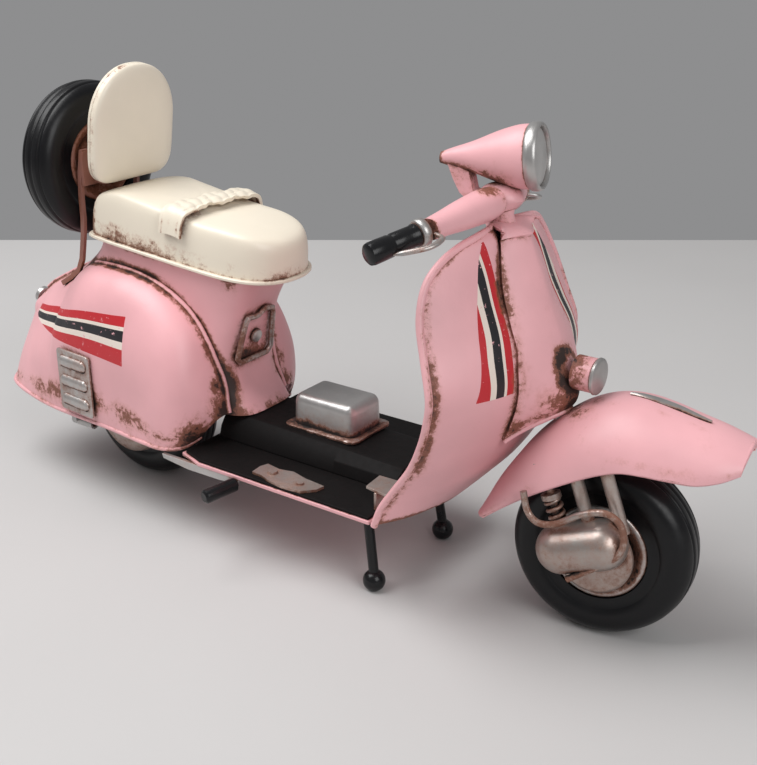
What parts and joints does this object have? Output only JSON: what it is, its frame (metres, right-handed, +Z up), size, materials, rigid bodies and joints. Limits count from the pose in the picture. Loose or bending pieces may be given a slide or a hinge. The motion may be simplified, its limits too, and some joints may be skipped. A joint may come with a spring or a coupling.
{
  "type": "tin scooter model",
  "caption": "Sheet-metal toy scooter with turning handlebar and front fork, rolling wheels, spare wheel, backrest and a folding stand with ball feet.",
  "frame": {"origin": "on the ground under the body's centre line, midway between the tail and the front mudguard's tip", "axes": "+X forward, +Y to the scooter's left, +Z up; wheels and stand feet rest on z = 0"},
  "size_m": [0.2812, 0.1012, 0.1502],
  "materials": {
    "pink_paint": "satin pastel pink, brown rubbed into seams",
    "cream_paint": "satin cream with brown specks",
    "silver_paint": "aged silver paint, brown stained",
    "brown_patina": "dark brown wash",
    "floor_black": "satin black",
    "stand_black": "gloss black",
    "grip_black": "satin",
    "tyre_black": "satin",
    "lens_silver": "dull silver"
  },
  "bodies": {
    "frame": {"rear_body": "pink_paint", "cowl_right": "pink_paint", "cowl_left": "pink_paint", "cowl_beads": "pink_paint", "cowl_grilles": "silver_paint", "hatch": "silver_paint", "tail_light": "silver_paint", "under_tray": "pink_paint", "floor_mat": "floor_black", "tunnel": "floor_black", "tunnel_box": "silver_paint", "brake_pedal": "silver_paint", "toe_plate": "silver_paint", "leg_shield": "pink_paint", "shield_bead": "pink_paint", "horn_cover": "pink_paint", "horn_disc": "silver_paint", "head_tube": "silver_paint", "head_bushes": "silver_paint", "seat_pan": "cream_paint", "seat_shell": "cream_paint", "seat_strap": "cream_paint", "backrest_back": "cream_paint", "backrest_front": "cream_paint", "spare_carrier": "brown_patina", "spare_tyre": "tyre_black", "spare_rim": "brown_patina", "spare_nut": "silver_paint", "axle_brackets": "silver_paint", "rear_axle": "silver_paint", "drum_cover": "silver_paint", "exhaust_tip": "silver_paint", "kick_lever": "silver_paint", "kick_rubber": "grip_black", "stand_clip": "stand_black"},
    "front_wheel": {"front_tyre": "tyre_black", "front_rim": "silver_paint"},
    "rear_wheel": {"rear_tyre": "tyre_black", "rear_rim": "silver_paint"},
    "stand": {"stand_frame": "stand_black", "stand_feet": "stand_black"},
    "steering": {"steering_stem": "silver_paint", "handlebar_yoke": "pink_paint", "bar_sleeves": "pink_paint", "bar_collars": "silver_paint", "grips": "grip_black", "brake_levers": "silver_paint", "headlight_shell": "pink_paint", "headlight_rim": "silver_paint", "headlight_lens": "lens_silver", "front_fender": "pink_paint", "fender_crest": "silver_paint", "front_fork": "silver_paint", "front_damper": "silver_paint", "link_rod": "silver_paint", "brake_plate": "silver_paint", "hub_casing": "silver_paint", "front_axle": "silver_paint"}
  },
  "joints": [
    {"name": "steering_turn", "type": "hinge", "parent": "frame", "child": "steering", "pos_m": [0.098, 0, 0.027], "axis": [-0.3584, 0, 0.9336], "range_deg": [-37, 19]},
    {"name": "front_wheel_spin", "type": "hinge", "parent": "steering", "child": "front_wheel", "pos_m": [0.10097, 0.00044, 0.02699], "axis": [-0.146, 0.9877, -0.0561], "continuous": true},
    {"name": "rear_wheel_spin", "type": "hinge", "parent": "frame", "child": "rear_wheel", "pos_m": [-0.0827, 0, 0.027], "axis": [0, 1, 0], "continuous": true},
    {"name": "stand_fold", "type": "hinge", "parent": "frame", "child": "stand", "pos_m": [0.0325, 0, 0.0252], "axis": [0, 1, 0], "range_deg": [0, 80]}
  ]
}
